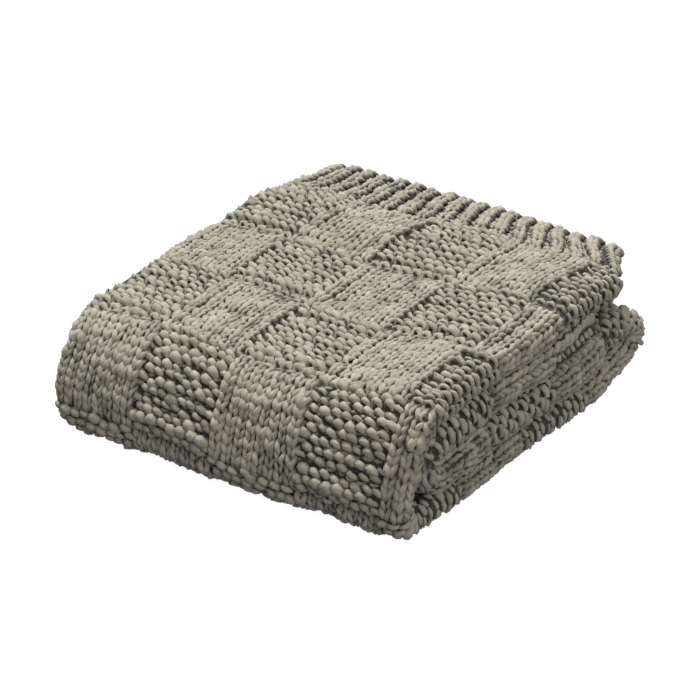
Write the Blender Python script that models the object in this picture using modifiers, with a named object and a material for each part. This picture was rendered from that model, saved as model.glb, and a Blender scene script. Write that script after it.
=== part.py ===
"""Knit throw blanket, folded for a shelf.

One piece of knitting: a basket-weave body with a ribbed border at each end.
It is folded lengthwise into four layers, with the last fold on the right, and
then crosswise into four runs. From the top down these are the top run, the
tucked run, the middle run and the floor run.

Metres, +Z up. X runs across the fold from the free selvedge on the left to
the fold on the right, Y from the front fold to the ribbed end at the back.
"""

import bpy
import numpy as np

# The knitting
STITCH = 0.0095          # one stitch across
ROW = 0.0074             # one row of stitches
BLOCK = 12 * ROW         # a basket-weave block is 8 stitches by 12 rows
THICK = 0.0046           # one layer, pressed by the fold
DOME = 0.0016            # how far a knit block crowns above a purl one
RIB_HEIGHT = 0.0016      # ridge of the ribbed border

# The packet, before it settles
PITCH = 0.0057           # from one layer's middle to the next
LEVEL = 0.0229           # from one run's middle to the next
FLOOR_MID = 1.5 * PITCH + THICK / 2   # middle of the floor run
SELVEDGE = 0.004         # the free selvedge's x
U_CENTRE = 0.3248        # x of the right-hand fold's centre
WIDTH = 0.336
FRONT = 0.0415           # the outer front fold's reach, at the run's middle
FRONT_LOW = 0.0222       # the height where it reaches furthest: the fold sags
INNER_FRONT = 0.0116     # the tucked front fold's radius
INNER_BACK = 0.003       # how far back its centre lies

# Cross-lines shared by all the runs, so that they rise and fall together
LINES = (0.0, 2 * BLOCK / 3, 4 * BLOCK / 3, 2 * BLOCK)

# The ribbed end, and the top run's rise above its level: it climbs over the
# back loop, then droops past the end of the run beneath
TOP_BACK = (
    # y,         rise
    (0.3330, -0.0100),
    (0.3120, -0.0042),
    (0.2900, 0.0004),
    (3 * BLOCK, 0.0034),
    (0.2400, 0.0050),
    (0.2150, 0.0052),
    (2 * BLOCK, 0.0012),
)
RIB_LINES = 3

# The loose back loop: a round nose between the floor run and the middle run
LOOP_CENTRE = (0.2540, 0.0350)
LOOP_REACH, LOOP_RISE = 0.0275, 0.0178
LOOP_STEPS = 6

# The middle run coming down from the loop; the tucked run lies on it and ends
# above the last of these lines
MIDDLE_BACK = (
    # y,         rise
    (0.2360, 0.0124),
    (0.2150, 0.0044),
    (2 * BLOCK, 0.0008),
)

FRONT_STEPS, UNDER_STEPS, INNER_FRONT_STEPS = 5, 3, 5

# How the packet settles: the faces of its runs before and after, at the right,
# where the folds stand fuller, and its height at the left
RUN_FACES = (0.0, 0.0229, 0.0458, 0.0687, 0.0916)
RIGHT_FACES = (0.0, 0.0236, 0.0512, 0.0800, 0.1045)
LEFT_SCALE = 0.95

# Layer 1 has a column for each stitch. The hidden layers have one at each of
# these stitches, and the packet's slopes change only there.
STITCHES = 34
SHARED = (34, 29, 23, 17, 8)


def smooth(t):
    """0 to 1, level at both ends."""
    t = np.clip(t, 0.0, 1.0)
    return t * t * (3.0 - 2.0 * t)


def arc(centre, reach, rise, start, end, steps):
    """Points round part of an ellipse; the angle is 0 at the top, 90 at the front."""
    turn = np.radians(np.linspace(start, end, steps + 1))
    return np.column_stack([centre[0] - reach * np.sin(turn), centre[1] + rise * np.cos(turn)])


def mid_line():
    """The bundle's middle, a point for each row of the mesh, with its run."""
    top, tucked, middle = (FLOOR_MID + k * LEVEL for k in (3, 2, 1))
    back = np.array(TOP_BACK) + (0.0, top)
    body = np.linspace(0.0, 2 * BLOCK, 7)[-2::-1]
    front = arc((0.0, FRONT_LOW), FRONT, top - FRONT_LOW, 0, 90, FRONT_STEPS)
    turn_under = FRONT_LOW - FLOOR_MID
    under = arc((turn_under - FRONT, FRONT_LOW), turn_under, turn_under, 90, 180, UNDER_STEPS)
    nose = arc(LOOP_CENTRE, -LOOP_REACH, LOOP_RISE, 180, 0, LOOP_STEPS)
    down = np.array(MIDDLE_BACK) + (0.0, middle)
    inner = arc((INNER_BACK, (middle + tucked) / 2), INNER_FRONT, LEVEL / 2, 180, 0,
                INNER_FRONT_STEPS)
    over = down[:0:-1] + [(0.0, LEVEL), (0.0, LEVEL + 0.0008)]
    return [
        ("rib", back[: RIB_LINES]),
        ("top", back[RIB_LINES:]),
        ("top", np.column_stack([body, np.full(len(body), top)])),
        ("front fold", np.vstack([front[1:], under[1:]])),
        ("floor", np.array([(y, FLOOR_MID) for y in LINES])),
        ("floor", np.array([(MIDDLE_BACK[1][0], FLOOR_MID + 0.0002)])),
        ("back loop", nose),
        ("middle", down),
        ("middle", np.array([(y, middle) for y in LINES[2:0:-1]])),
        ("inner front", inner),
        ("tucked", np.array([(y, tucked) for y in LINES[1:3]])),
        ("tucked", over),
    ]


def rows():
    """Each row of the mesh: its run, its middle (y, z) and its outward normal."""
    runs = [run for run, points in mid_line() for _ in points]
    line = np.vstack([points for _, points in mid_line()])
    along = np.diff(line, axis=0)
    along /= np.linalg.norm(along, axis=1)[:, None]
    tangent = np.vstack([along[:1], along[:-1] + along[1:], along[-1:]])
    tangent /= np.linalg.norm(tangent, axis=1)[:, None]
    return [(run, at, np.array([t[1], -t[0]])) for run, at, t in zip(runs, line, tangent)]


def section():
    """Each column of the mesh: its part, x, and offset towards layer 1's face."""
    def fold_over(x, reach, start, half):
        turns = np.linspace(0, np.pi, 7 if half > PITCH else 4)[1:-1]
        return [("fold", x + reach * half * np.sin(t), start + half - half * np.cos(t))
                for t in turns]

    stitch = (U_CENTRE - SELVEDGE) / STITCHES
    shared = [SELVEDGE + k * stitch for k in SHARED]
    left = SELVEDGE + 0.015
    found = [("layer 1", SELVEDGE + k * stitch, 1.5 * PITCH) for k in range(STITCHES + 1)]
    found += fold_over(U_CENTRE, 1, -1.5 * PITCH, 1.5 * PITCH)[::-1]
    found += [("layer 4", x, -1.5 * PITCH) for x in shared + [left]]
    found += fold_over(left, -1, -1.5 * PITCH, 0.5 * PITCH)
    found += [("layer 3", x, -0.5 * PITCH) for x in [left] + shared[::-1]]
    found += fold_over(U_CENTRE, 1, -0.5 * PITCH, 0.5 * PITCH)
    found += [("layer 2", x, 0.5 * PITCH) for x in shared + [left - 0.003]]
    return found


def relief(run, column, x, up, length):
    """How far layer 1 stands out: crowned knit blocks, and the border's ridges."""
    if run == "rib":
        return RIB_HEIGHT * (column % 2)
    if run not in ("top", "front fold", "back loop"):
        return 0.0
    along, across = length / BLOCK, x / (8 * STITCH)
    if (int(along) + int(across)) % 2 == 0:
        return 0.0
    crown = np.sin(np.pi * (along % 1)) * np.sin(np.pi * (across % 1))
    return DOME * max(crown, 0.0) ** 0.6 * smooth((up + 0.5) / 0.8)


def slope(x, start, end):
    """A smooth ramp along x that is straight between the shared columns."""
    stitch = (U_CENTRE - SELVEDGE) / STITCHES
    knots = np.array([0.0] + [SELVEDGE + k * stitch for k in SHARED[::-1]] + [WIDTH])
    return np.interp(x, knots, smooth((knots - start) / (end - start)))


def settle(x, y, z):
    """The soft packet's own unevenness. It moves space, so layers stay apart."""
    z = z - THICK / 2
    loose = smooth((y - 0.17) / 0.09)
    fuller = slope(x, 0.17, WIDTH) * (1 - 0.85 * loose)
    z = z + fuller * (np.interp(z, RUN_FACES, RIGHT_FACES) - z)
    z = z * (1 - (1 - LEFT_SCALE) * slope(x, 0.10, 0.0) * (1 - loose))
    z = z * (1 + 0.010 * np.sin(15 * x + 0.8) * np.sin(13 * y + 0.4))
    x = x + 0.011 * smooth((0.015 - y) / 0.06) * smooth(1 - x / 0.20)
    lift = z / RUN_FACES[-1]
    x = x + 0.0016 * np.sin(38 * y + 30 * z) * smooth(x / WIDTH)
    x = x - 0.0018 * np.sin(27 * y + 45 * z + 1.0) * smooth(1 - x / WIDTH)
    y = y + 0.0012 * lift * np.sin(15 * x + 0.6)
    return x, y, z + THICK / 2


def fold(columns, lines):
    """The folded place of every grid point, row by row."""
    lengths = [0.0]
    for (_, a, na), (_, b, nb) in zip(lines, lines[1:]):
        lengths.append(lengths[-1] + np.linalg.norm(b + nb * 0.0086 - a - na * 0.0086))
    rib = lengths[RIB_LINES]
    places = []
    for (run, (y, z), (ny, nz)), length in zip(lines, lengths):
        over = run in ("rib", "top")
        border = smooth((y - 0.240) / 0.093) if over else 0.0
        trough = 0.0085 * smooth((y - 0.215) / 0.075) - 0.0060 * smooth((y - 0.280) / 0.055)
        trough = trough if over else 0.0
        sunk = 0.0040 * smooth((y - 0.215) / 0.05) * smooth((z - 0.018) / 0.034)
        sunk = sunk if run in ("back loop", "middle") else 0.0
        forward = 0.0045 * smooth((-0.005 - y) / 0.03) * smooth((0.055 - z) / 0.035)
        for column, (part, x, offset) in enumerate(columns):
            if part == "layer 1":
                offset += relief(run, column, x, nz, max(length - rib, 0.0))
                offset -= 0.0034 * smooth((SELVEDGE + 0.013 - x) / 0.013)
            px, py, pz = settle(x, y + ny * offset, z + nz * offset)
            # The ribbed border draws the cloth in and droops at its fold, with
            # a trough before it at the left. The back loop sags at the right,
            # and the front fold bulges forward near the floor.
            droop = border * slope(x, 0.10, WIDTH)
            px = px + border * (0.009 - 0.178 * min(px, U_CENTRE - 0.012))
            pz = pz - 0.005 * droop - trough * slope(x, 0.25, 0.11)
            pz = pz - sunk * slope(x, 0.17, WIDTH)
            py = py - 0.006 * droop - forward * slope(x, 0.03, 0.17)
            places.append((px, py, pz))
    return np.array(places)


def build():
    for old in list(bpy.data.objects):
        bpy.data.objects.remove(old)
    group = bpy.data.collections.new("knit_throw")
    bpy.context.scene.collection.children.link(group)

    columns, lines = section(), rows()
    across, along = len(columns) - 1, len(lines) - 1
    bpy.ops.mesh.primitive_grid_add(x_subdivisions=across, y_subdivisions=along, size=1)
    throw = bpy.context.active_object
    throw.name = throw.data.name = "throw"
    for other in list(throw.users_collection):
        other.objects.unlink(throw)
    group.objects.link(throw)

    folded = fold(columns, lines)
    mesh = throw.data
    flat = np.empty(len(mesh.vertices) * 3, np.float32)
    mesh.vertices.foreach_get("co", flat)
    flat = flat.reshape(-1, 3)
    column = np.rint((flat[:, 0] + 0.5) * across).astype(int)
    line = np.rint((flat[:, 1] + 0.5) * along).astype(int)
    placed = folded[line * (across + 1) + column]
    mesh.vertices.foreach_set("co", placed.astype(np.float32).ravel())
    mesh.polygons.foreach_set("use_smooth", [True] * len(mesh.polygons))
    mesh.update()

    wall = throw.modifiers.new("wall", "SOLIDIFY")
    wall.thickness = THICK
    wall.offset = 0.0

    # The origin is the middle of the underside
    graph = bpy.context.evaluated_depsgraph_get()
    solid = throw.evaluated_get(graph)
    corners = np.array([vertex.co for vertex in solid.to_mesh().vertices])
    solid.to_mesh_clear()
    low, high = corners.min(axis=0), corners.max(axis=0)
    shift = np.array([(low[0] + high[0]) / 2, (low[1] + high[1]) / 2, low[2]])
    mesh.vertices.foreach_set("co", (placed - shift).astype(np.float32).ravel())
    mesh.update()

    wool = bpy.data.materials.new("grey_beige_yarn")
    wool.use_nodes = True
    shader = wool.node_tree.nodes["Principled BSDF"]
    shader.inputs["Base Color"].default_value = (0.36, 0.335, 0.265, 1.0)
    shader.inputs["Roughness"].default_value = 0.92
    shader.inputs["Metallic"].default_value = 0.0
    mesh.materials.append(wool)
    return throw, shift


if __name__ == "__main__":
    build()
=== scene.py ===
# %% [markdown]
# # A folded basket-weave throw
#
# This lesson knits a thick throw blanket, stitch by stitch, onto the folded
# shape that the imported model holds. The real throw is one piece of knitting:
# squares of plain knit face and of purl bumps, a ribbed border at each end,
# folded in four lengthwise and then in four crosswise.
#
# A bump map can't give the deep gaps between plump loops, so every stitch that
# can be seen is a real loop of yarn. The loops are drawn on flat cloth first,
# where knitting is simple, and one function then folds flat cloth into the
# packet.

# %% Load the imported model
import math
import bpy
import numpy as np
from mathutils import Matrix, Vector


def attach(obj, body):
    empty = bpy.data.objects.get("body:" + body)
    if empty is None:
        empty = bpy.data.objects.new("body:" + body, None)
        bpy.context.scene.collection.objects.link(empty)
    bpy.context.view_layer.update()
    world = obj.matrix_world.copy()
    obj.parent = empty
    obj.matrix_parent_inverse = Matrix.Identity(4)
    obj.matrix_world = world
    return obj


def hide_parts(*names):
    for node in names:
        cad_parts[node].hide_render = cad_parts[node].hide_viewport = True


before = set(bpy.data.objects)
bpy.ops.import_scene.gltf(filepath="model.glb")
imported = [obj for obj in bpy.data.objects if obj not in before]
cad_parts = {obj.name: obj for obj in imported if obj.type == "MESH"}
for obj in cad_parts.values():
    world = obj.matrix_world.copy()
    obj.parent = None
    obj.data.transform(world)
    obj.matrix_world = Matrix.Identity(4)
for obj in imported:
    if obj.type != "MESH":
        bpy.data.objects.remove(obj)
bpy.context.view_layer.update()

# %% [markdown]
# ## Sizes of the knitting and of the packet
#
# A knitter counts in stitches across and rows along. One stitch of this thick
# yarn is 9.5 mm wide and one row is 7.4 mm high. A square of the basket weave
# is 8 stitches by 12 rows. The other sizes say how the cloth lies: how far its
# layers are apart, and where its folds turn.

# %% Sizes, in metres
STITCH, ROW = 0.0095, 0.0074
BLOCK = 12 * ROW
THICK, PITCH, LEVEL = 0.0046, 0.0057, 0.0229
FLOOR_MID = 1.5 * PITCH + THICK / 2
SELVEDGE, U_CENTRE, WIDTH = 0.004, 0.3248, 0.336
FRONT, FRONT_LOW = 0.0415, 0.0222
INNER_FRONT, INNER_BACK = 0.0116, 0.003
LOOP_CENTRE, LOOP_REACH, LOOP_RISE = (0.2540, 0.0350), 0.0275, 0.0178
RUN_FACES = (0.0, 0.0229, 0.0458, 0.0687, 0.0916)
RIGHT_FACES = (0.0, 0.0236, 0.0512, 0.0800, 0.1045)
LEFT_SCALE = 0.95
ORIGIN = np.array((0.16932378, 0.13988920, 0.0))

RIB_ROWS, BLOCK_STITCHES, BLOCK_ROWS = 9, 8, 12
STITCHES_ACROSS = 17 * BLOCK_STITCHES
LAYER_STITCHES = STITCHES_ACROSS // 4
ROWS_ALONG = 14 * BLOCK_ROWS + 2 * RIB_ROWS
TOP_ROWS = RIB_ROWS + 3 * BLOCK_ROWS
# Round the right fold, past this stitch, the purl loops are pulled thin
FOLD_STITCH = 31.4
# The yarn's radius, the fine step along a drawn line, the gap above the floor
YARN, STEP, FLOOR_GAP = 0.00225, 0.0005, 0.0002
print("the whole cloth:", STITCHES_ACROSS, "stitches by", ROWS_ALONG, "rows")

# %% [markdown]
# ## The line that the folded bundle follows
#
# Seen from the side, the throw is a bundle of four layers that runs from the
# ribbed end at the top back, forward over the top, round the big front fold,
# back along the floor, round the loose back loop, forward, round the small
# tucked fold, and back again. A smooth curve goes through a few points and
# arcs that mark this path, and the rows of knitting are then counted off along
# the cloth's outer face.

# %% The bundle's middle line, as a fine smooth curve
def smooth(t):
    """Rises softly from 0 to 1 as t does, and stays level outside."""
    t = np.clip(t, 0.0, 1.0)
    return t * t * (3.0 - 2.0 * t)


def arc(centre, reach, rise, start, end, steps):
    """Points round part of an ellipse; the angles start at its top."""
    turn = np.radians(np.linspace(start, end, steps + 1))
    return np.column_stack([centre[0] - reach * np.sin(turn), centre[1] + rise * np.cos(turn)])


def between(t, low, high, first, last):
    """From the first point to the last one, as t goes from low to high."""
    return (high - t) / (high - low) * first + (t - low) / (high - low) * last


def through(points):
    """A smooth curve through the points, in even steps along it."""
    p = np.vstack([2 * points[0] - points[1], points, 2 * points[-1] - points[-2]])
    gaps = np.sqrt(np.linalg.norm(np.diff(p, axis=0), axis=1))
    knots = np.concatenate([[0.0], np.cumsum(gaps)])
    found = []
    for k in range(1, len(p) - 2):
        t = np.linspace(knots[k], knots[k + 1], 24, endpoint=False)[:, None]
        a1 = between(t, knots[k - 1], knots[k], p[k - 1], p[k])
        a2 = between(t, knots[k], knots[k + 1], p[k], p[k + 1])
        a3 = between(t, knots[k + 1], knots[k + 2], p[k + 1], p[k + 2])
        b1 = between(t, knots[k - 1], knots[k + 1], a1, a2)
        b2 = between(t, knots[k], knots[k + 2], a2, a3)
        found.append(between(t, knots[k], knots[k + 1], b1, b2))
    line = np.vstack(found + [points[-1:]])
    length = np.concatenate([[0.0], np.cumsum(np.linalg.norm(np.diff(line, axis=0), axis=1))])
    even = np.arange(0.0, length[-1], STEP)
    return np.column_stack([np.interp(even, length, line[:, k]) for k in (0, 1)])


top, tucked, middle = (FLOOR_MID + k * LEVEL for k in (3, 2, 1))
turn_under = FRONT_LOW - FLOOR_MID
lines_back = np.array([(0.2360, 0.0124), (0.2150, 0.0044), (2 * BLOCK, 0.0008)])
stretches = {
    "top": np.array([(0.3330, top - 0.0100), (0.3120, top - 0.0042), (0.2900, top + 0.0004),
                     (3 * BLOCK, top + 0.0034), (0.2400, top + 0.0050), (0.2150, top + 0.0052),
                     (2 * BLOCK, top + 0.0012), (1.5 * BLOCK, top), (BLOCK, top),
                     (0.5 * BLOCK, top), (0.0, top)]),
    "front": np.vstack([arc((0.0, FRONT_LOW), FRONT, top - FRONT_LOW, 0, 90, 16)[1:],
                        arc((turn_under - FRONT, FRONT_LOW), turn_under, turn_under, 90, 180, 8)[1:]]),
    "floor": np.array([(0.0, FLOOR_MID), (0.6 * BLOCK, FLOOR_MID), (1.2 * BLOCK, FLOOR_MID),
                       (2 * BLOCK, FLOOR_MID), (0.2150, FLOOR_MID + 0.0002)]),
    "loop": arc(LOOP_CENTRE, -LOOP_REACH, LOOP_RISE, 180, 0, 20),
    "middle": np.vstack([lines_back + (0.0, middle),
                         [(4 / 3 * BLOCK, middle), (2 / 3 * BLOCK, middle)]]),
    "inner": arc((INNER_BACK, (middle + tucked) / 2), INNER_FRONT, LEVEL / 2, 180, 0, 16),
    "tucked": np.array([(2 / 3 * BLOCK, tucked), (4 / 3 * BLOCK, tucked),
                        (2 * BLOCK, tucked + 0.0008), (0.2150, tucked + 0.0052)]),
}
curve = through(np.vstack(list(stretches.values())))
soften = np.exp(-0.5 * (np.arange(-12, 13) / 4.0) ** 2)
soften /= soften.sum()
padded_line = np.pad(curve, ((12, 12), (0, 0)), mode="reflect", reflect_type="odd")
curve = np.column_stack([np.convolve(padded_line[:, k], soften, "valid") for k in (0, 1)])
heading = np.gradient(curve, axis=0)
heading /= np.linalg.norm(heading, axis=1)[:, None]
outward = np.column_stack([heading[:, 1], -heading[:, 0]])
print("the bundle is", round(STEP * len(curve), 3), "m long, folded end to end")

# %% Count the rows of knitting along it
# Rows are counted on the outer layer as far as the back loop, and on the
# bundle's middle after it, where the outer layer turns inside.
outer_layer = 0.0086
step_outer = np.linalg.norm(np.diff(curve + outward * outer_layer, axis=0), axis=1)
step_middle = np.linalg.norm(np.diff(curve, axis=0), axis=1)
ends = {}
start = 0
for name, points in stretches.items():
    far = np.linalg.norm(curve[start:] - points[-1], axis=1)
    straight = np.linalg.norm(np.diff(points, axis=0), axis=1).sum()
    start += int(np.argmin(far[: int(2 + 1.3 * straight / STEP + 120)]))
    ends[name] = start
inside = smooth((np.arange(len(step_outer)) - ends["loop"]) / 60.0)
counted = np.concatenate([[0.0], np.cumsum(step_outer * (1 - inside) + step_middle * inside)]) / ROW
after = ends["loop"]
stretch_rows = (ROWS_ALONG - counted[after]) / (counted[-1] - counted[after])
counted[after:] = counted[after] + (counted[after:] - counted[after]) * stretch_rows
row_at = {name: float(counted[k]) for name, k in ends.items()}
print("rows at the end of each stretch:", {k: round(v, 1) for k, v in row_at.items()},
      "rows after the loop scaled by", round(stretch_rows, 3))

# %% [markdown]
# ## Across the bundle
#
# Cut across, the bundle shows the cloth's width folded in four: layer 1 on the
# outside, the big fold at the right, layer 4 below, a small fold at the left,
# layer 3, and a small inner fold back to layer 2. The cloth's face stays
# outside at the right and at the left fold.

# %% The section across the bundle
def section_line():
    """x, offset and face direction along the cloth's width, finely stepped."""
    left, inner_left = SELVEDGE + 0.015, SELVEDGE + 0.012
    points = [np.column_stack([np.linspace(SELVEDGE, U_CENTRE, 300), np.full(300, 1.5 * PITCH)])]
    def turn(x, reach, start, half, n):
        """A half circle that bulges to the right (reach 1) or left (-1)."""
        a = np.linspace(0, np.pi, n)[1:-1]
        return np.column_stack([x + reach * half * np.sin(a), start + half - half * np.cos(a)])
    points.append(turn(U_CENTRE, 1, -1.5 * PITCH, 1.5 * PITCH, 40)[::-1])
    points.append(np.column_stack([np.linspace(U_CENTRE, left, 200), np.full(200, -1.5 * PITCH)]))
    points.append(turn(left, -1, -1.5 * PITCH, 0.5 * PITCH, 24))
    points.append(np.column_stack([np.linspace(left, U_CENTRE, 200), np.full(200, -0.5 * PITCH)]))
    points.append(turn(U_CENTRE, 1, -0.5 * PITCH, 0.5 * PITCH, 24))
    points.append(np.column_stack([np.linspace(U_CENTRE, inner_left, 200), np.full(200, 0.5 * PITCH)]))
    line = np.vstack(points)
    length = np.concatenate([[0.0], np.cumsum(np.linalg.norm(np.diff(line, axis=0), axis=1))])
    go = np.gradient(line, length, axis=0)
    go /= np.linalg.norm(go, axis=1)[:, None]
    face = np.column_stack([-go[:, 1], go[:, 0]])
    # Layer 1 has exactly a quarter of the stitches, and the rest shares what is left
    first, others = length[299], STITCHES_ACROSS - LAYER_STITCHES
    stitch = np.where(length < first, length / first * LAYER_STITCHES,
                      LAYER_STITCHES + (length - first) / (length[-1] - first) * others)
    return stitch, line, face


across, across_line, across_face = section_line()
# These points of the section lie on layer 4, at the bottom of the bundle
hidden = slice(340, 538)
hidden_x, hidden_stitch = across_line[hidden, 0][::-1], across[hidden][::-1]
hidden_ends = (U_CENTRE, SELVEDGE + 0.015)
hidden_count = np.ptp(np.interp(hidden_ends, hidden_x, hidden_stitch))
print("a hidden stitch is", round(1000 * (hidden_ends[0] - hidden_ends[1]) / hidden_count, 2), "mm wide")

# %% [markdown]
# ## Where each stitch is knit and where it is purl
#
# The squares alternate like a chequerboard. The border alternates stitch by
# stitch, which makes its deep ribs.

# %% The pattern
def is_knit(i, j):
    """True where stitch i of row j shows its knit face on the outside."""
    i, j = np.asarray(i), np.clip(np.asarray(j), 0, ROWS_ALONG - 1)
    border = (j < RIB_ROWS) | (j >= ROWS_ALONG - RIB_ROWS)
    square = (i // BLOCK_STITCHES + (j - RIB_ROWS) // BLOCK_ROWS) % 2 == 1
    return np.where(border, i % 2 == 0, square)


KNIT_ACROSS = ((0.0, 0.0012), (0.5, 0.0020), (1.3, -0.0013), (2.4, -0.0008), (4.5, 0.0012), (6.4, 0.0020),
               (7.4, 0.0034), (8.0, 0.0028))
PURL_ACROSS = ((0.0, -0.0026), (0.8, -0.0014), (2.0, 0.0), (6.0, 0.0002), (7.2, 0.0), (8.0, -0.0014))


def swell(u, v):
    """How far the squares stand out: edge ropes, crowned knit, proud purl."""
    along, wide = ((v - RIB_ROWS) / BLOCK_ROWS) % 1, u % BLOCK_STITCHES
    knit = is_knit(np.floor(u).astype(int), np.floor(v).astype(int))
    middle_of = np.clip(np.sin(np.pi * along), 0, 1) ** 0.45
    from_front, from_rear = (1 - along) * BLOCK_ROWS, along * BLOCK_ROWS
    front, rear = np.exp(-(from_front / 0.8) ** 2), np.exp(-(from_rear / 1.0) ** 2)
    rolled = np.exp(-((from_front - 1.4) / 0.8) ** 2)
    knitted = middle_of * np.interp(wide, *zip(*KNIT_ACROSS)) - 0.0008 * (front + rear)
    edges = (0.0026 * rolled - 0.0016 * front) * (1 - smooth((u - 31) / 2)) + 0.0010 * rear
    return np.where(knit, knitted, np.interp(wide, *zip(*PURL_ACROSS)) + edges)


def in_border(v):
    """1 in the ribbed borders, 0 in the squares."""
    return 1 - smooth((v - RIB_ROWS + 0.6) / 1.2) + smooth((v - ROWS_ALONG + RIB_ROWS + 0.6) / 1.2)


def pressed(v):
    """How flat the cloth is pressed on the floor: 0 is plump, 1 is flat."""
    return smooth((v - 59) / 6) * smooth((row_at["floor"] + 4 - v) / 6)


def relief(u, v):
    """How far the cloth's face stands out, squares and ribs together."""
    body = sum(swell(u + du, v + dv) for du in (-0.15, 0.15) for dv in (-0.3, 0.3)) / 4
    rib = -0.0001 + 0.0032 * np.sin(np.pi * u)
    border = in_border(v)
    return (body * (1 - border) + rib * border) * (1 - 0.6 * pressed(v))


# %% [markdown]
# ## The fold itself
#
# This function takes flat cloth (stitches across, rows along, and height above
# the face) to its place in the folded packet. The packet then settles: its
# right side stands fuller, its left side lies lower, and the ribbed border
# draws in.

# %% Where the squares really lie
# Hand-knit squares are never quite even: here and there the cloth is pulled.
# Each pull has its middle (stitch, row), its reach (across, along) and how far
# it goes (stitches, rows). The free edge at stitch 0 isn't pulled sideways.
PULLS = (
    ((36, 45), (22, 14), (0.5, 2.0)),
    ((16, 21), (30, 9), (-0.5, 1.0)),
    ((0, 33), (14, 8), (0.0, -1.0)),
    ((24, 57), (16, 8), (1.0, 0.0)),
    ((20, 39), (10, 10), (-0.5, 0.5)),
)


def lie(u, v):
    """The place of a stitch on the packet's even grid."""
    across_by = along_by = 0.0
    for (stitch, row), (wide, long), (stitches, rows) in PULLS:
        near = np.exp(-((u - stitch) / wide) ** 2 - ((v - row) / long) ** 2)
        across_by = across_by + stitches * near
        along_by = along_by + rows * near
    return u + across_by * smooth(u / 8), v + along_by


# %% Fold flat cloth into the packet
def fold(u, v, w):
    """Where flat cloth lies: u stitches across, v rows along, w metres up."""
    u, v, w = (np.asarray(a, float) for a in np.broadcast_arrays(u, v, w))
    w = w + relief(np.clip(u, 0, STITCHES_ACROSS - 0.01), v) * (u < 40)
    pulled = u - 0.18 * np.cos(np.pi * u) * in_border(v)
    u_lies, v_lies = lie(pulled, v)
    at = np.clip(u_lies, 0.0, STITCHES_ACROSS)
    beyond = u_lies - at
    s = np.interp(v_lies, counted, np.arange(len(counted)))
    past = np.where(v_lies < 0, v_lies, np.where(v_lies > ROWS_ALONG, v_lies - ROWS_ALONG, 0.0)) * ROW
    y0, z0 = (np.interp(s, np.arange(len(curve)), curve[:, k]) for k in (0, 1))
    ny, nz = (np.interp(s, np.arange(len(curve)), outward[:, k]) for k in (0, 1))
    size = np.hypot(ny, nz)
    ny, nz = ny / size, nz / size
    y0, z0 = y0 - nz * past, z0 + ny * past
    fx, fo = (np.interp(at, across, across_face[:, k]) for k in (0, 1))
    size = np.hypot(fx, fo)
    fx, fo = fx / size, fo / size
    x0 = np.interp(at, across, across_line[:, 0]) + beyond * STITCH * np.sign(fo)
    offset = np.interp(at, across, across_line[:, 1])
    x, offset = x0 + fx * w, offset + fo * w
    offset = offset - 0.0034 * smooth((SELVEDGE + 0.013 - x0) / 0.013) * (at < LAYER_STITCHES)
    y, z = y0 + ny * offset, z0 + nz * offset
    # The packet settles under its own weight
    z = z - THICK / 2
    loose = smooth((y - 0.17) / 0.09)
    fuller = smooth((x - 0.17) / (WIDTH - 0.17)) * (1 - 0.85 * loose)
    z = z + fuller * (np.interp(z, RUN_FACES, RIGHT_FACES) - z)
    z = z * (1 - (1 - LEFT_SCALE) * smooth((0.10 - x) / 0.10) * (1 - loose))
    z = z * (1 + 0.010 * np.sin(15 * x + 0.8) * np.sin(13 * y + 0.4))
    x = x + 0.011 * smooth((0.015 - y) / 0.06) * smooth(1 - x / 0.20)
    lift = z / RUN_FACES[-1]
    x = x + 0.0016 * np.sin(38 * y + 30 * z) * smooth(x / WIDTH)
    x = x - 0.0018 * np.sin(27 * y + 45 * z + 1.0) * smooth(1 - x / WIDTH)
    y = y + 0.0012 * lift * np.sin(15 * x + 0.6)
    z = z + THICK / 2
    # The border draws in and droops at its fold, behind a trough at the left,
    # the back loop sags at the right, the front bulges near the floor, and the
    # tucked fold comes forward at the right
    on_top = v_lies < row_at["top"]
    in_loop = (v_lies > row_at["floor"]) & (v_lies < row_at["middle"])
    border = smooth((y0 - 0.240) / 0.093) * on_top
    trough = (0.0085 * smooth((y0 - 0.215) / 0.075) - 0.0060 * smooth((y0 - 0.280) / 0.055)) * on_top
    trough = trough * smooth((0.25 - x0) / 0.14)
    sunk = 0.0040 * smooth((y0 - 0.215) / 0.05) * smooth((z0 - 0.018) / 0.034) * in_loop
    sunk = sunk * smooth((x0 - 0.17) / 0.166)
    forward = 0.0045 * smooth((-0.005 - y0) / 0.03) * smooth((0.055 - z0) / 0.035)
    tucked_fold = (v_lies > row_at["middle"] - 8) & (v_lies < row_at["tucked"])
    nest = 0.007 * smooth((0.030 - y0) / 0.03) * smooth((x0 - 0.27) / 0.05) * tucked_fold
    droop = border * smooth((x0 - 0.10) / (WIDTH - 0.10))
    edge = smooth((x0 - 0.296) / 0.036) * (1 - border) * on_top
    x = x - 0.003 * edge + border * (0.009 - 0.178 * np.minimum(x, U_CENTRE - 0.012))
    z = z - 0.004 * edge - 0.005 * droop - trough - sunk
    y = y - 0.006 * droop - forward * smooth((x0 - 0.03) / 0.14) - nest
    # Nothing sinks into the floor: the yarn is squashed where it rests
    z = np.where(z < 0.0012, FLOOR_GAP + 0.001 * np.exp((z - 0.0012) / 0.001), z)
    return np.stack([x, y, z], axis=-1) - ORIGIN
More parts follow.
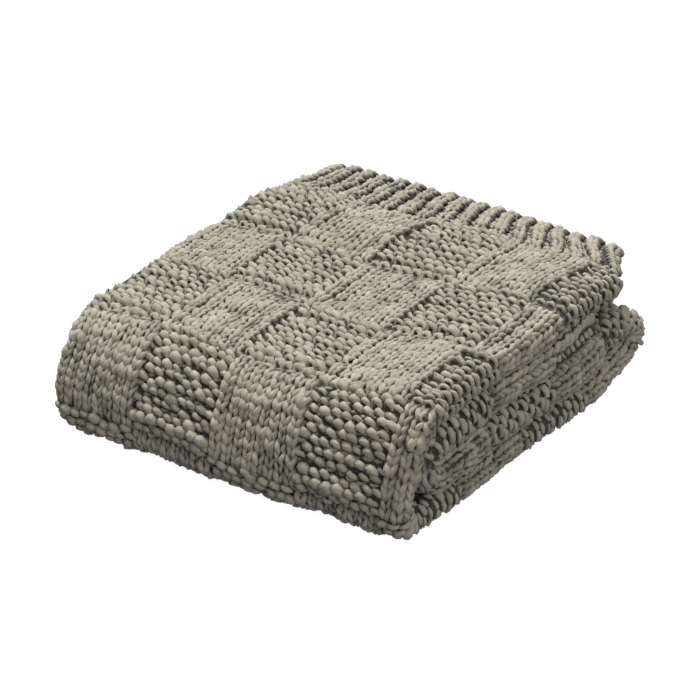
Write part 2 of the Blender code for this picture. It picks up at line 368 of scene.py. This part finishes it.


# %% [markdown]
# ## The cloth behind the loops
#
# Between plump loops one sees only shadow, where the backs of the loops lie.
# A thin sheet stands for them, so that no gap lets light through, and its wool
# is painted almost black as painted shade for those gaps. It starts as a grid,
# each point of which is folded into place, and Solidify gives it its thickness.

# %% The backing sheet
# Across, its grid is finer where the cloth turns: (stitch, past stitch, step)
SPACING = ((0, 34, 1), (34, 40, 0.5), (40, 68, 2), (68, 72, 0.5),
           (72, 102, 2), (102, 105, 0.5), (105, 136, 2))
SHEET_THICK = 0.0020
bpy.ops.object.select_all(action="DESELECT")
stops = np.concatenate([np.arange(*stretch) for stretch in SPACING] + [[STITCHES_ACROSS]])
rows_of_sheet = np.arange(ROWS_ALONG + 1)
cells_across, cells_along = len(stops) - 1, len(rows_of_sheet) - 1
bpy.ops.mesh.primitive_grid_add(x_subdivisions=cells_across, y_subdivisions=cells_along, size=1)
backing = bpy.context.active_object
backing.name = backing.data.name = "loop_backs"
flat = np.empty(len(backing.data.vertices) * 3, np.float32)
backing.data.vertices.foreach_get("co", flat)
flat = flat.reshape(-1, 3)
column = np.rint((flat[:, 0] + 0.5) * cells_across).astype(int)
line = np.rint((flat[:, 1] + 0.5) * cells_along).astype(int)
folded = fold(stops[column], rows_of_sheet[line], -SHEET_THICK / 2)
backing.data.vertices.foreach_set("co", folded.astype(np.float32).ravel())
backing.data.update()
wall = backing.modifiers.new("wall", "SOLIDIFY")
wall.thickness, wall.offset = SHEET_THICK, 0.0
bpy.ops.object.modifier_apply(modifier="wall")
bpy.ops.object.shade_smooth()
print("backing sheet:", len(backing.data.polygons), "faces")

# %% [markdown]
# ## One loop of yarn, repeated
#
# In knitting the yarn runs along a row in a wave that doubles back: up one leg,
# over the head, down the other leg. In a knit stitch the legs lie in front and
# make a V; in a purl stitch the head and feet lie in front and make a bump.
# Each loop's head passes through the loop of the next row, so how the head
# lies is set by that row's stitch. On the top the purl bumps lie flat like
# short bars, and on the front fold, where the cloth is stretched, they are
# round like beads. Round the right fold the rows are pulled into strands.
#
# The yarn is spun thick and thin, so each stretch of it has its own radius, and
# every loop is a little out of place. The random numbers are seeded, so the
# throw is the same each time.

# %% The path and radius of a row's yarn
# How far, in rows, a loop reaches up and down from the middle of its row
HALF = 0.88


def noise(seed, where, spacing):
    """Smooth random numbers along the yarn."""
    rng = np.random.default_rng(seed)
    knots = rng.normal(size=int(160 / spacing) + 8)
    t = np.asarray(where) / spacing + 2
    k = np.floor(t).astype(int)
    f = smooth(t - k)
    return knots[k] * (1 - f) + knots[k + 1] * f


def yarn_path(j, i0, i1, steps):
    """Flat-cloth path of row j from stitch i0 to i1, with its radius."""
    x = np.linspace(i0, i1, (i1 - i0) * steps + 1)
    faces = is_knit(np.minimum(np.floor(x).astype(int), i1 - 1), j)
    t = x + np.where(faces, 0.028 * np.sin(4 * np.pi * x), 0.06 * np.sin(2 * np.pi * x))
    turn = 2 * np.pi * t
    i = np.minimum(np.floor(t).astype(int), i1 - 1)
    part = t - i
    def blended(row):
        """1 in knit and -1 in purl stitches of a row, softly joined."""
        here = np.where(is_knit(i, row), 1.0, -1.0)
        before = np.where(is_knit(np.maximum(i - 1, 0), row), 1.0, -1.0)
        after = np.where(is_knit(np.minimum(i + 1, STITCHES_ACROSS - 1), row), 1.0, -1.0)
        left, right = 0.5 * (1 - smooth(part / 0.12)), 0.5 * (1 - smooth((1 - part) / 0.12))
        return here * (1 - left - right) + before * left + after * right
    own, newer = blended(j), blended(max(j - 1, 0))
    foot = 0.5 * (1 + np.cos(turn))
    side = own * foot + newer * (1 - foot)
    knit, purl = 0.5 * (1 + side), 0.5 * (1 - side)
    border, on_top = in_border(j + 0.5), smooth((TOP_ROWS + 1 - j) / 4)
    round_beads = (1 - on_top) * (t < FOLD_STITCH)
    # Round the right fold the rows spread, so dark gaps open between thin strands
    spread = purl * smooth((t - FOLD_STITCH) / 1.4) * (t < 44)
    lean = 0.23 * knit + purl * (0.28 - 0.06 * round_beads)
    swing, head = np.sin(turn), 1 - foot
    leg = -np.cos(2 * turn + 0.5 * swing)
    bead = 1 - 2 * (swing ** 2) ** 1.3
    brick = (1 if j % 2 else -1) * (0.24 - 0.12 * on_top) * (1 - border) * np.clip(t / 1.5, 0, 1)
    u = (t + lean * np.sin(2 * turn) + brick * purl * head
         + (0.055 + 0.035 * round_beads * purl) * noise(9000 + j, t, 0.5))
    flat_arc = np.tanh(1.7 * np.cos(turn)) / np.tanh(1.7) * (1 - 0.30 * spread)
    v = (j + 0.5 + HALF * (knit * np.cos(turn) + purl * flat_arc)
         - purl * (1 - spread) * (0.30 * head * swing + 0.18 * foot)
         + (0.09 + 0.04 * round_beads * purl) * noise(7000 + j, t, 0.5) + 0.10 * noise(8000 + j, t, 3.0))
    w = (knit * (-0.0006 + 0.0015 * leg + 0.0006 * noise(70, t, 0.5) * (1 - border))
         + purl * (-0.0010 + (0.0016 + 0.0005 * round_beads) * bead - 0.0014 * np.cos(turn)))
    w = w + swing * (0.0001 * knit + 0.0007 * purl * head)
    w = w * (1 - 0.4 * pressed(v)) + 0.0004 * noise(5000 + j, t, 0.6)
    slub = 0.20 * noise(3000 + j, t, 0.9) + 0.10 * noise(1000 + j, t, 0.4)
    swollen = knit * (0.85 + 0.17 * leg + 0.06 * border) + purl * (0.82 + 0.16 * bead - 0.15 * np.cos(turn))
    swollen = swollen + purl * round_beads * (0.22 * head ** 3 - 0.09)
    row_of_square = (j - RIB_ROWS) % BLOCK_ROWS
    last_of_square = 0.16 if row_of_square in (0, BLOCK_ROWS - 1) else 0.0
    swollen = (swollen + last_of_square * purl * head * (t < FOLD_STITCH)) * (1 - 0.15 * spread)
    swollen = swollen * (1 - purl * (0.12 * on_top + 0.10 * border))
    w = w - 0.0012 * spread * foot - 0.0006 * border * purl * head
    w = w + 0.0004 * round_beads * purl * foot
    if row_of_square == BLOCK_ROWS - 1:
        w = w + 0.0012 * purl * foot * (1 - border) * (t < FOLD_STITCH)
    radius = YARN * np.exp(np.clip(slub, -0.36, 0.40)) * (swollen + (0.04 * knit + 0.10 * purl) * swing)
    return t, u, v, w, radius


# %% A tube of yarn along a path
def tube(u, v, w, radius, sides, seed):
    """Rings of points round a folded path, closed at both ends."""
    centre = fold(u, v, w)
    # A second point a little higher shows which way the cloth's face looks
    out = fold(u, v, w + 0.0008) - centre
    go = np.gradient(centre, axis=0)
    go /= np.maximum(np.linalg.norm(go, axis=1), 1e-9)[:, None]
    cross = np.cross(go, out)
    cross /= np.maximum(np.linalg.norm(cross, axis=1), 1e-9)[:, None]
    over = np.cross(cross, go)
    angles = 2 * np.pi * (np.arange(sides) + 0.5) / sides
    ring = (cross[:, None, :] * np.cos(angles)[None, :, None] * 1.04
            + over[:, None, :] * np.sin(angles)[None, :, None] * 0.98)
    # Handspun yarn is a little lumpy all round
    lumpy = 1 + 0.065 * np.random.default_rng(4000 + seed).normal(size=(len(centre), sides)).clip(-2, 2)
    points = centre[:, None, :] + ring * (radius[:, None] * lumpy)[..., None]
    length = np.concatenate([[0.0], np.cumsum(np.linalg.norm(np.diff(centre, axis=0), axis=1))])
    # How deep each point lies in the cloth; the wool material paints shade by it
    depth = w[:, None] + np.sin(angles)[None, :] * radius[:, None]
    points[..., 2] = np.maximum(points[..., 2], FLOOR_GAP)
    return points, length + 1.7 * seed, depth


def knit_piece(name, fields, steps, sides):
    """One mesh from many rows, in fields (stitch, past stitch, row, past row)."""
    runs, lengths, depths = [], [], []
    for i0, i1, j0, j1 in fields:
        for j in range(j0, j1):
            t, u, v, w, radius = yarn_path(j, i0, i1, steps)
            points, length, depth = tube(u, v, w, radius, sides, j + 200 * (i0 > 60))
            runs.append(points)
            lengths.append(length)
            depths.append(depth)
    return tubes_to_mesh(name, runs, lengths, depths, sides)


def tubes_to_mesh(name, runs, lengths, depths, sides):
    """The runs of yarn as one mesh, with lengths as UV and depths by which the material paints shade."""
    corners, quads, caps, uvs, cap_uvs = [], [], [], [], []
    base = 0
    around = np.arange(sides)
    for points, length in zip(runs, lengths):
        n = len(points)
        ring = base + sides * np.arange(n - 1)[:, None]
        a, b = ring + around, ring + (around + 1) % sides
        quads.append(np.stack([a, b, b + sides, a + sides], axis=-1).reshape(-1, 4))
        l0, l1 = np.repeat(length[:-1, None], sides, 1), np.repeat(length[1:, None], sides, 1)
        r0 = np.repeat(around[None, :] / sides, n - 1, 0)
        r1 = r0 + 1 / sides
        uvs.append(np.stack([r0, l0, r1, l0, r1, l1, r0, l1], axis=-1).reshape(-1, 2))
        caps.append(base + around[::-1])
        caps.append(base + sides * (n - 1) + around)
        cap_uvs.append(np.column_stack([around / sides, np.full(sides, length[0])]))
        cap_uvs.append(np.column_stack([around / sides, np.full(sides, length[-1])]))
        corners.append(points.reshape(-1, 3))
        base += n * sides
    corners, quads, caps = np.vstack(corners), np.vstack(quads), np.vstack(caps)
    mesh = bpy.data.meshes.new(name)
    mesh.vertices.add(len(corners))
    mesh.vertices.foreach_set("co", corners.astype(np.float32).ravel())
    loops = np.concatenate([quads.ravel(), caps.ravel()]).astype(np.int32)
    starts = np.concatenate([4 * np.arange(len(quads)), 4 * len(quads) + sides * np.arange(len(caps))])
    mesh.loops.add(len(loops))
    mesh.loops.foreach_set("vertex_index", loops)
    mesh.polygons.add(len(starts))
    mesh.polygons.foreach_set("loop_start", starts.astype(np.int32))
    mesh.polygons.foreach_set("use_smooth", [True] * len(starts))
    layer = mesh.uv_layers.new(name="yarn")
    layer.data.foreach_set("uv", np.vstack(uvs + cap_uvs).astype(np.float32).ravel())
    # The depths drive the painted shade in the wool material
    deep = mesh.attributes.new("depth", "FLOAT", "POINT")
    deep.data.foreach_set("value", np.concatenate([d.ravel() for d in depths]).astype(np.float32))
    mesh.update()
    mesh.validate()
    piece = bpy.data.objects.new(name, mesh)
    bpy.context.scene.collection.objects.link(piece)
    print(name, "triangles:", 2 * len(quads) + (sides - 2) * len(caps))
    return piece


# %% [markdown]
# ## Knit the visible cloth, piece by piece
#
# Each stretch of the packet is a piece of its own, so that no mesh grows too
# heavy. Stitches that no one can see, between the layers, are left out.

# %% Knit it
front_end, floor_end, loop_end = (int(round(row_at[k])) for k in ("front", "floor", "loop"))
knitted = [
    knit_piece("ribbed_border", [(0, 38, 0, 9), (38, 69, 0, 9), (69, 136, 0, 3)], 12, 6),
    knit_piece("top_knitting", [(0, 38, RIB_ROWS, TOP_ROWS)], 12, 6),
    knit_piece("front_fold_knitting", [(0, 39, TOP_ROWS, front_end)], 12, 6),
    knit_piece("underside_knitting", [(0, 37, front_end, floor_end)], 8, 5),
    knit_piece("back_loop_knitting", [(0, 38, floor_end, loop_end),
                                      (38, 50, floor_end, loop_end + 4), (38, 69, 9, 14)], 10, 6),
    knit_piece("right_folds_knitting", [(31, 41, loop_end, ROWS_ALONG)], 10, 6),
    knit_piece("left_edge_knitting", [(0, 3, loop_end, ROWS_ALONG), (133, 136, 0, ROWS_ALONG),
                                      (68, 72, 0, ROWS_ALONG)], 10, 5),
]
print("triangles in all:", sum(len(p.data.polygons) * 2 for p in knitted) + len(backing.data.polygons) * 2)

# %% [markdown]
# ## The yarn
#
# The yarn is a matt, softly spun wool blend in a warm grey-beige. Its colour
# drifts along its length, and fine fibres run along it with a slight twist.
# Where it lies deep in the cloth its colour is darkened, as painted shade for
# the gaps between loops.

# %% Materials
def new_material(name):
    """A material with its node tree and its shader."""
    made = bpy.data.materials.new(name)
    made.use_nodes = True
    return made, made.node_tree, made.node_tree.nodes["Principled BSDF"]


def node(tree, kind, **values):
    """A new node with its settings."""
    made = tree.nodes.new(kind)
    for key, value in values.items():
        setattr(made, key, value)
    return made


wool, tree, shader = new_material("grey_beige_wool")
link = tree.links.new
uv = node(tree, "ShaderNodeUVMap", uv_map="yarn")
# Colour that drifts slowly along the yarn
along = node(tree, "ShaderNodeMapping")
along.inputs["Scale"].default_value = (0.0, 9.0, 0.0)
link(uv.outputs["UV"], along.inputs["Vector"])
drift = node(tree, "ShaderNodeTexNoise")
drift.inputs["Scale"].default_value = 1.0
drift.inputs["Detail"].default_value = 2.0
link(along.outputs["Vector"], drift.inputs["Vector"])
tone = node(tree, "ShaderNodeValToRGB")
tone.color_ramp.elements[0].position, tone.color_ramp.elements[0].color = 0.34, (0.285, 0.268, 0.205, 1)
tone.color_ramp.elements[1].position, tone.color_ramp.elements[1].color = 0.66, (0.43, 0.395, 0.315, 1)
middle_tone = tone.color_ramp.elements.new(0.5)
middle_tone.color = (0.36, 0.338, 0.268, 1)
link(drift.outputs["Fac"], tone.inputs["Fac"])
# Fibres, drawn out along the yarn and slightly twisted
twist = node(tree, "ShaderNodeMapping")
twist.inputs["Scale"].default_value = (7.0, 160.0, 0.0)
twist.inputs["Rotation"].default_value = (0.0, 0.0, 0.02)
link(uv.outputs["UV"], twist.inputs["Vector"])
fibres = node(tree, "ShaderNodeTexNoise")
fibres.inputs["Scale"].default_value = 1.0
fibres.inputs["Detail"].default_value = 3.0
fibres.inputs["Roughness"].default_value = 0.65
link(twist.outputs["Vector"], fibres.inputs["Vector"])
streak = node(tree, "ShaderNodeMapRange")
streak.inputs["From Min"].default_value, streak.inputs["From Max"].default_value = 0.3, 0.7
streak.inputs["To Min"].default_value, streak.inputs["To Max"].default_value = 0.76, 1.18
link(fibres.outputs["Fac"], streak.inputs["Value"])
# Painted shade: yarn that lies deep in the cloth is painted darker, standing in for the shade in the gaps
# between loops
depth = node(tree, "ShaderNodeAttribute", attribute_name="depth")
shade = node(tree, "ShaderNodeMapRange")
shade.inputs["From Min"].default_value, shade.inputs["From Max"].default_value = -0.0012, 0.0026
shade.inputs["To Min"].default_value, shade.inputs["To Max"].default_value = 0.12, 1.0
link(depth.outputs["Fac"], shade.inputs["Value"])
both = node(tree, "ShaderNodeMath", operation="MULTIPLY")
link(streak.outputs["Result"], both.inputs[0])
link(shade.outputs["Result"], both.inputs[1])
# In a colour mix, sockets 6 and 7 are the two colours and output 2 their mix
paint = node(tree, "ShaderNodeMix", data_type="RGBA", blend_type="MULTIPLY")
paint.inputs["Factor"].default_value = 1.0
link(tone.outputs["Color"], paint.inputs[6])
link(both.outputs["Value"], paint.inputs[7])
link(paint.outputs[2], shader.inputs["Base Color"])
bump = node(tree, "ShaderNodeBump")
bump.inputs["Strength"].default_value = 0.5
bump.inputs["Distance"].default_value = 0.0006
link(fibres.outputs["Fac"], bump.inputs["Height"])
link(bump.outputs["Normal"], shader.inputs["Normal"])
shader.inputs["Roughness"].default_value = 0.92
shader.inputs["Sheen Weight"].default_value = 0.12
shader.inputs["Sheen Roughness"].default_value = 0.5
for piece in knitted:
    piece.data.materials.append(wool)

shadow_wool, tree, shader = new_material("painted_shade_in_the_gaps")
place = node(tree, "ShaderNodeTexCoord")
felt = node(tree, "ShaderNodeTexNoise")
felt.inputs["Scale"].default_value = 420.0
felt.inputs["Detail"].default_value = 3.0
tree.links.new(place.outputs["Object"], felt.inputs["Vector"])
# Painted shade: the sheet's wool is painted almost black, far darker than the yarn, for the shade in the
# gaps
tone = node(tree, "ShaderNodeValToRGB")
tone.color_ramp.elements[0].position, tone.color_ramp.elements[0].color = 0.35, (0.028, 0.026, 0.020, 1)
tone.color_ramp.elements[1].position, tone.color_ramp.elements[1].color = 0.65, (0.060, 0.056, 0.044, 1)
tree.links.new(felt.outputs["Fac"], tone.inputs["Fac"])
tree.links.new(tone.outputs["Color"], shader.inputs["Base Color"])
bump = node(tree, "ShaderNodeBump")
bump.inputs["Distance"].default_value = 0.001
tree.links.new(felt.outputs["Fac"], bump.inputs["Height"])
tree.links.new(bump.outputs["Normal"], shader.inputs["Normal"])
shader.inputs["Roughness"].default_value = 0.95
backing.data.materials.append(shadow_wool)

# %% [markdown]
# ## Hang every piece on the one body
#
# Every piece moves with the one body and stands for the imported throw, which
# is hidden.

for piece in [backing] + knitted:
    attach(piece, "root")
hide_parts("throw")

# %% [markdown]
# ## Floor, light and camera
#
# The floor is a wide white sweep that glows by itself, so it stays even and
# throws little light back onto the cloth. A big soft light shines from the back
# left, so that the loops on top are lit from the side, and a weak, low one from
# the right keeps that side from going dark. The room itself is a soft dome, bright
# overhead and dim at the horizon. The camera looks down at 27 degrees from the
# front right with a long lens, which keeps the packet's sides almost parallel.

# %% The floor
bpy.ops.object.select_all(action="DESELECT")
bpy.ops.mesh.primitive_plane_add(size=40.0, location=(0.0, 0.0, 0.0))
floor = bpy.context.active_object
floor.name = "floor"
pale, tree, shader = new_material("pale_floor")
shader.inputs["Base Color"].default_value = (0.06, 0.06, 0.06, 1)
shader.inputs["Roughness"].default_value = 0.9
shader.inputs["Emission Color"].default_value = (1.0, 1.0, 1.0, 1)
shader.inputs["Emission Strength"].default_value = 0.97
floor.data.materials.append(pale)
floor.visible_diffuse = False

# %% The lights
scene = bpy.context.scene
scene.view_settings.view_transform = "Standard"
scene.view_settings.look = "None"
world = bpy.data.worlds.new("soft_room")
scene.world = world
world.use_nodes = True
tree = world.node_tree
sky = node(tree, "ShaderNodeTexCoord")
parts = node(tree, "ShaderNodeSeparateXYZ")
dome = node(tree, "ShaderNodeMapRange")
dome.inputs["From Min"].default_value, dome.inputs["From Max"].default_value = -0.1, 1.0
dome.inputs["To Min"].default_value, dome.inputs["To Max"].default_value = 0.04, 0.78
tree.links.new(sky.outputs["Generated"], parts.inputs["Vector"])
tree.links.new(parts.outputs["Z"], dome.inputs["Value"])
tree.links.new(dome.outputs["Result"], tree.nodes["Background"].inputs["Strength"])
tree.nodes["Background"].inputs["Color"].default_value = (1.0, 0.975, 0.93, 1)
sun = bpy.data.lights.new("overhead_softbox", "SUN")
sun.energy, sun.angle = 3.65, math.radians(9)
sun.color = (0.97, 0.985, 1.0)
overhead = bpy.data.objects.new("overhead_softbox", sun)
scene.collection.objects.link(overhead)
overhead.rotation_euler = Vector((-0.54, 0.34, 1.0)).to_track_quat("Z", "Y").to_euler()

window = bpy.data.lights.new("right_window", "SUN")
window.energy, window.angle = 0.95, math.radians(15)
right_window = bpy.data.objects.new("right_window", window)
scene.collection.objects.link(right_window)
right_window.rotation_euler = Vector((0.85, -0.38, 0.42)).to_track_quat("Z", "Y").to_euler()

# %% The camera
turn, height, away = math.radians(34.18), math.radians(27.15), 2.903
target = Vector((0.0800, -0.1372, 0.1138))
back = Vector((math.sin(turn) * math.cos(height), -math.cos(turn) * math.cos(height), math.sin(height)))
lens = bpy.data.cameras.new("camera")
lens.lens, lens.sensor_width = 204.98, 36.0
camera = bpy.data.objects.new("camera", lens)
scene.collection.objects.link(camera)
camera.location = target + back * away
camera.rotation_euler = back.to_track_quat("Z", "Y").to_euler()
lens.clip_start, lens.clip_end = 0.05, 60.0
scene.camera = camera
